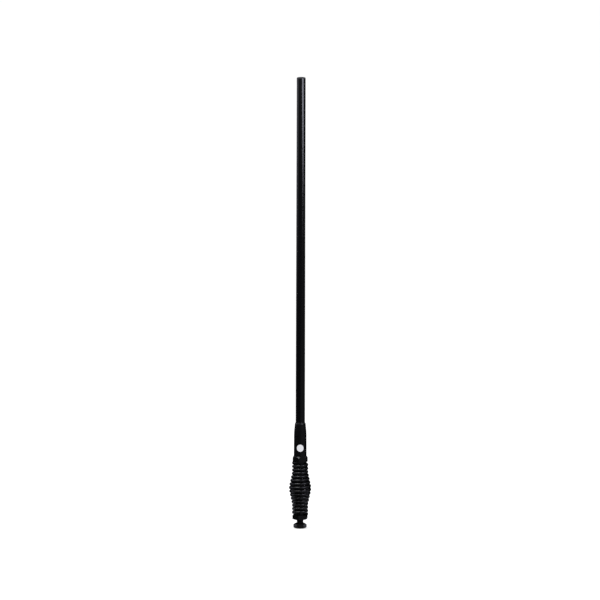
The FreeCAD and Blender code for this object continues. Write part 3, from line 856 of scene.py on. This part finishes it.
dress(cable_jacket, nodes["feed_cable"], lower_cable, upper_cable)

# %% [markdown]
# ## Floor and backdrop
# The photograph has a white ground with nothing in it. The floor and the world show white to the
# camera and in reflections, by way of the Light Path node, and light the antenna at a plain level,
# so the white disc looks white and not glowing. The floor adds a part of that white to its own lit
# surface, so a faint shadow still falls on it.

# %% Floor
floor_height = cad_low.z
floor_side = 60.0
floor_white = (0.82, 0.82, 0.82)
floor_glow = 0.38
plain_light = 0.8
background_white = 1.02


def seen_directly(tree):
    """1 for rays from the camera, in a reflection or through glass, and 0 for the rest."""
    path = tree.nodes.new("ShaderNodeLightPath")
    reflected = maths(tree, "MAXIMUM", path.outputs["Is Camera Ray"], path.outputs["Is Glossy Ray"])
    return maths(tree, "MAXIMUM", reflected, path.outputs["Is Transmission Ray"])


def make_floor_finish():
    """White floor whose lit part keeps a shadow, with a glow on top that lifts it to white."""
    material = bpy.data.materials.new("white_floor")
    material.use_nodes = True
    tree = material.node_tree
    tree.nodes.remove(tree.nodes["Principled BSDF"])
    matt = tree.nodes.new("ShaderNodeBsdfDiffuse")
    matt.inputs["Color"].default_value = (*floor_white, 1)
    glow = tree.nodes.new("ShaderNodeEmission")
    strength = maths(tree, "MULTIPLY", seen_directly(tree), floor_glow)
    tree.links.new(strength, glow.inputs["Strength"])
    both = tree.nodes.new("ShaderNodeAddShader")
    tree.links.new(matt.outputs[0], both.inputs[0])
    tree.links.new(glow.outputs[0], both.inputs[1])
    tree.links.new(both.outputs[0], tree.nodes["Material Output"].inputs["Surface"])
    return material


deselect_all()
bpy.ops.mesh.primitive_plane_add(size=floor_side, location=(0, 0, floor_height))
bpy.ops.object.transform_apply(location=True)
floor = bpy.context.object
floor.name = "studio_floor"
dress(make_floor_finish(), floor)
floor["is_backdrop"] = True
print("floor at", round(floor_height / MM, 1), "mm")

# %% World
world = bpy.data.worlds.new("studio")
bpy.context.scene.world = world
world.use_nodes = True
world_tree = world.node_tree
sky = world_tree.nodes["Background"]
sky.inputs["Color"].default_value = (1, 1, 1, 1)
extra_white = background_white - plain_light
level = maths(world_tree, "MULTIPLY_ADD", seen_directly(world_tree), extra_white, plain_light)
world_tree.links.new(level, sky.inputs["Strength"])
print("world lights at", plain_light, "and shows as", background_white)

# %% [markdown]
# ## A dark tent of painted reflections
# A gloss black thing shows whatever stands round it. With white on all sides it would turn grey and
# lose its edges, so a photographer hangs dark cloth round the set, out of the picture. This tent is
# half a sphere with a floor, and only reflections see it. It is no lamp, yet it glows with its
# own grey, so all it shows is painted reflection: nearly black and a little cool over most of it.
# A pale strip on the left, from knee height up, is a painted reflection that gives the whip its
# soft left rim. A fainter painted band runs round the front above the camera, and the floor is
# painted a shade lighter on the right, as a lit floor would show in a reflection. A small white
# card behind the foot is a painted reflection in the undersides of the nut and the collar.
# Painted panels could be hung instead, but one material that measures bearing and height keeps
# every edge soft and easy to move. Each soft edge is written as where it starts and where it ends,
# in metres of height or degrees from the front.

# %% Tent edges


def smooth_step(tree, value, start, end):
    """0 before start, 1 past end and a soft change between them. The end may be the lower one."""
    node = tree.nodes.new("ShaderNodeMapRange")
    node.interpolation_type = "SMOOTHSTEP"
    tree.links.new(value, node.inputs["Value"])
    node.inputs["From Min"].default_value = start
    node.inputs["From Max"].default_value = end
    return node.outputs[0]


def between(tree, value, rise, fall):
    """1 between two soft edges and 0 outside them."""
    begun = smooth_step(tree, value, *rise)
    return maths(tree, "SUBTRACT", begun, smooth_step(tree, value, *fall))


def degrees(start, end):
    """A soft edge in degrees, as radians."""
    return math.radians(start), math.radians(end)


# The pale strip on the left is a painted reflection, for the whip's soft left rim.
strip_rise = (0.3, 1.5)
strip_sides = (degrees(-50, -95), degrees(-122, -140))
overhead_edge = (1.8, 2.3)
band_edge = (1.3, 1.75)
wall_edge = (-0.1, 0.7)
floor_edge = (0.6, -0.1)
floor_sides = (degrees(-4, 14), degrees(85, 110))
front_edge = degrees(150, 110)
card_edge = (0.12, 0.08)
back_edge = degrees(80, 105)
print("strip from", strip_rise[1], "to", overhead_edge[0], "m up")

# %% Tent glow, painted reflection
darkest_grey = 0.01
wall_grey = 0.045
painted_band_grey = 0.4
overhead_darkens = 0.7
# The band above the camera and the lighter floor on the right are painted reflections.
painted_lit_floor_grey = 0.14
# The white card behind the foot is painted reflection for the nut's and collar's undersides.
painted_card_grey = 0.8
cool_glow = (0.86, 0.88, 1.0)


def painted_rim_strip(tree, bearing, z):
    """Glow of the pale strip on the left, a painted reflection for the whip's soft left rim."""
    upright = between(tree, z, strip_rise, overhead_edge)
    return maths(tree, "MULTIPLY", upright, between(tree, bearing, *strip_sides))


def front_painted_reflection(tree, bearing, z):
    """Painted reflection: walls, band above the camera, and floor painted lighter on the right."""
    wall = maths(tree, "MULTIPLY_ADD", smooth_step(tree, z, *wall_edge), wall_grey, darkest_grey)
    overhead = smooth_step(tree, z, *overhead_edge)
    high = smooth_step(tree, z, *band_edge)
    band = maths(tree, "MULTIPLY_ADD", overhead, -overhead_darkens, high)
    banded = maths(tree, "MULTIPLY_ADD", band, painted_band_grey, wall)
    low = smooth_step(tree, z, *floor_edge)
    low_right = maths(tree, "MULTIPLY", between(tree, bearing, *floor_sides), low)
    both = maths(tree, "ADD", banded, maths(tree, "MULTIPLY", low_right, painted_lit_floor_grey))
    turned = maths(tree, "ABSOLUTE", bearing)
    return maths(tree, "MULTIPLY", both, smooth_step(tree, turned, *front_edge))


def painted_underside_card(tree, bearing, x, y):
    """1 on the small white card behind the foot, a painted reflection under the nut and collar."""
    near = smooth_step(tree, diagonal(tree, x, y), *card_edge)
    behind = smooth_step(tree, maths(tree, "ABSOLUTE", bearing), *back_edge)
    return maths(tree, "MULTIPLY", near, behind)


def make_painted_reflection_tent():
    """Painted reflection: a glowing sheet whose own grey shows, whatever light falls on it."""
    material = bpy.data.materials.new("painted_reflection_tent")
    material.use_nodes = True
    tree = material.node_tree
    tree.nodes.remove(tree.nodes["Principled BSDF"])
    _, (x, y, z) = place_on_piece(tree)
    bearing = bearing_from_front(tree, x, y)
    # The tent's grey is its own glow, a painted reflection: it is no lamp.
    cloth = front_painted_reflection(tree, bearing, z)
    front_glow_and_card = maths(tree, "MULTIPLY_ADD", painted_underside_card(tree, bearing, x, y), painted_card_grey, cloth)
    grey = maths(tree, "MAXIMUM", painted_rim_strip(tree, bearing, z), front_glow_and_card)
    glow = tree.nodes.new("ShaderNodeEmission")
    glow.inputs["Color"].default_value = (*cool_glow, 1)
    tree.links.new(grey, glow.inputs["Strength"])
    tree.links.new(glow.outputs[0], tree.nodes["Material Output"].inputs["Surface"])
    return material


painted_reflection_tent = make_painted_reflection_tent()
print("cloth:", painted_reflection_tent.name)

# %% Tent
tent_radius = 3.4
tent_floor = floor_height + 2 * MM


def only_in_reflections(card):
    """Hides a card from the camera and from every ray but a reflection."""
    card.visible_camera = False
    card.visible_diffuse = False
    card.visible_shadow = False
    card.visible_transmission = False
    card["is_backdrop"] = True


deselect_all()
bpy.ops.mesh.primitive_uv_sphere_add(
    segments=48, ring_count=24, radius=tent_radius, location=(0, 0, 0)
)
tent = bpy.context.object
tent.name = "dark_tent"
bpy.ops.object.mode_set(mode="EDIT")
bpy.ops.mesh.select_all(action="SELECT")
bpy.ops.mesh.bisect(
    plane_co=(0, 0, tent_floor), plane_no=(0, 0, 1), use_fill=True, clear_inner=True
)
bpy.ops.object.mode_set(mode="OBJECT")
dress(painted_reflection_tent, tent)
only_in_reflections(tent)
print("tent:", tent.name, len(tent.data.polygons), "faces")

# %% [markdown]
# ## Lights
# Two soft boxes make the highlights. The right one stands high enough to miss the lower half of the
# whip: its long reflection runs down the tube and fades out. It is rolled, with its right end low,
# so the stripe moves outwards as it fades, and its light is a little cool. The left one hangs
# higher, and shows only on what faces up, such as the top of each turn of the spring and the
# collar's bevel.

# %% Soft boxes


def add_soft_box(name, place, aim, width, height, radiance, colour=(1, 1, 1), roll=0):
    """A rectangular light, aimed at a point and rolled. radiance is how bright its face is."""
    data = bpy.data.lights.new(name, "AREA")
    data.shape = "RECTANGLE"
    data.size = width
    data.size_y = height
    data.energy = radiance * math.pi * width * height
    data.color = colour
    lamp = bpy.data.objects.new(name, data)
    bpy.context.scene.collection.objects.link(lamp)
    lamp.location = place
    lamp.rotation_euler = (Vector(aim) - Vector(place)).to_track_quat("-Z", "Y").to_euler()
    lamp.rotation_euler.rotate_axis("Z", math.radians(roll))
    lamp.visible_camera = False
    return lamp


right_box = add_soft_box(
    "right_box",
    place=(1.15, -1.19, 1.2),
    aim=(0, 0, 1.2),
    width=1.2,
    height=0.4,
    radiance=7.3,
    colour=(0.84, 0.86, 1.0),
    roll=-20,
)
left_box = add_soft_box(
    "left_box",
    place=(-0.81, -0.39, 2.07),
    aim=(0, 0, 0.06),
    width=1.6,
    height=0.8,
    radiance=4.4,
)
for lamp in (right_box, left_box):
    print(lamp.name, "gives", round(lamp.data.energy, 2), "W")

# %% [markdown]
# ## Finish
# The picture is shown as it is, with no film look. The dressed antenna's box is printed, so that
# its size can be set beside the frame's box printed at the start.

# %% Finish
bpy.context.scene.view_settings.view_transform = "Standard"
low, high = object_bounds()
print("dressed box in mm", [round(side / MM, 1) for side in (high - low)])
